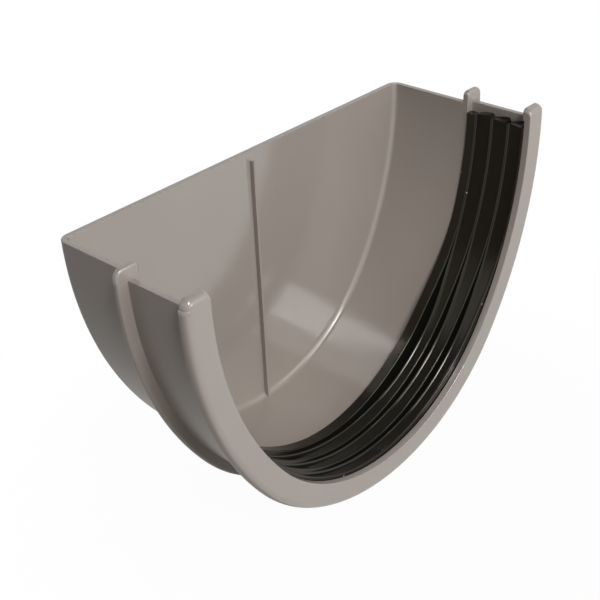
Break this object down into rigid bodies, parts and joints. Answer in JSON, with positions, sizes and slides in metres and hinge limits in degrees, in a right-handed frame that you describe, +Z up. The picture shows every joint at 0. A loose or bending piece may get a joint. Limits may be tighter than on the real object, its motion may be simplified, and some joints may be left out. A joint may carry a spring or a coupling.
{
  "type": "gutter end cap",
  "caption": "Deep half-round gutter end cap: a short trough closed by a flat wall, with a flanged socket and a lipped rubber seal that grips the outside of the gutter.",
  "frame": {"origin": "on the socket mouth's front plane, midway between the walls' two top edges and level with them", "axes": "+X across the gutter, +Y from the open mouth towards the end wall, +Z up"},
  "size_m": [0.193, 0.07, 0.1262],
  "materials": {
    "cap_plastic": "semi-gloss moulded",
    "seal_rubber": "satin moulded"
  },
  "bodies": {
    "root": {"cap_body": "cap_plastic", "rubber_seal": "seal_rubber"}
  },
  "joints": []
}
